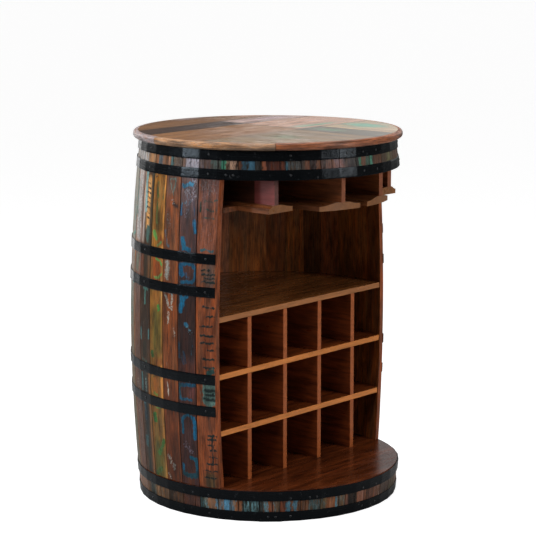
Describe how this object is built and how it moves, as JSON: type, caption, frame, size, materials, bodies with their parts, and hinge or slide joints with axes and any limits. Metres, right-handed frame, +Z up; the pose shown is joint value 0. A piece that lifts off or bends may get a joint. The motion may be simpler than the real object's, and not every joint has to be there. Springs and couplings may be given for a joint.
{
  "type": "bar cabinet",
  "caption": "Barrel-shaped bar cabinet of reclaimed staves and iron hoops, open in front, with bottle cells, a glass rack under the round top and a projecting deck.",
  "frame": {"origin": "on the floor at the barrel's axis, under the middle of the round top", "axes": "+Z up, -Y towards the open front, +X to the right seen from the front"},
  "size_m": [0.691, 0.6789, 0.91],
  "materials": {
    "stave_wood_rust": "satin lacquer over worn red-brown paint",
    "stave_wood_plum": "satin lacquer over worn plum and blue paint",
    "stave_wood_brown": "satin lacquer over bare brown wood",
    "stave_wood_ochre": "satin lacquer over ochre and green paint",
    "stave_wood_teal": "satin lacquer over dark teal paint",
    "stave_wood_green": "satin lacquer over worn grey-green paint",
    "ring_block_wood": "satin lacquer over mixed worn paint",
    "top_wood_brown": "gloss lacquer",
    "top_wood_dark": "gloss lacquer",
    "top_wood_lavender": "gloss lacquer over worn lavender paint",
    "top_wood_orange": "gloss lacquer",
    "top_wood_salmon": "gloss lacquer over worn salmon paint",
    "top_wood_tan": "gloss lacquer",
    "top_wood_grey": "gloss lacquer over worn grey paint",
    "top_wood_green": "gloss lacquer over worn green paint",
    "edging_wood": "gloss lacquer",
    "deck_wood": "satin lacquer",
    "inside_wood": "satin lacquer",
    "rack_wood": "satin lacquer",
    "hoop_iron": "satin black paint",
    "nail_iron": "satin black paint"
  },
  "bodies": {
    "root": {"top_board_rear": "top_wood_brown", "top_board_rear_left": "top_wood_dark", "top_board_rear_right": "top_wood_lavender", "top_board_mid_left": "top_wood_orange", "top_board_mid_right": "top_wood_salmon", "top_board_front_left": "top_wood_tan", "top_board_front_middle": "top_wood_grey", "top_board_front_right": "top_wood_green", "top_edging": "edging_wood", "top_ring_blocks": "ring_block_wood", "base_ring_blocks": "ring_block_wood", "deck_boards": "deck_wood", "stave_01": "stave_wood_rust", "stave_02": "stave_wood_plum", "stave_03": "stave_wood_brown", "stave_04": "stave_wood_ochre", "stave_05": "stave_wood_teal", "stave_06": "stave_wood_rust", "stave_07": "stave_wood_green", "stave_08": "stave_wood_brown", "stave_09": "stave_wood_plum", "stave_10": "stave_wood_ochre", "stave_11": "stave_wood_rust", "stave_12": "stave_wood_teal", "stave_13": "stave_wood_brown", "stave_14": "stave_wood_green", "stave_15": "stave_wood_plum", "stave_16": "stave_wood_rust", "stave_17": "stave_wood_ochre", "stave_18": "stave_wood_brown", "stave_19": "stave_wood_teal", "stave_20": "stave_wood_rust", "stave_21": "stave_wood_plum", "stave_22": "stave_wood_green", "stave_23": "stave_wood_brown", "stave_24": "stave_wood_ochre", "stave_25": "stave_wood_rust", "hoop_1": "hoop_iron", "hoop_2": "hoop_iron", "hoop_3": "hoop_iron", "hoop_4": "hoop_iron", "hoop_5": "hoop_iron", "hoop_6": "hoop_iron", "hoop_7": "hoop_iron", "hoop_8": "hoop_iron", "hoop_nails": "nail_iron", "shelf_1": "inside_wood", "dividers_row_1": "inside_wood", "shelf_2": "inside_wood", "dividers_row_2": "inside_wood", "shelf_3": "inside_wood", "dividers_row_3": "inside_wood", "glass_rail_1": "rack_wood", "rail_web_1": "rack_wood", "glass_rail_2": "rack_wood", "rail_web_2": "rack_wood", "glass_rail_3": "rack_wood", "rail_web_3": "rack_wood", "glass_rail_4": "rack_wood", "rail_web_4": "rack_wood"}
  },
  "joints": []
}
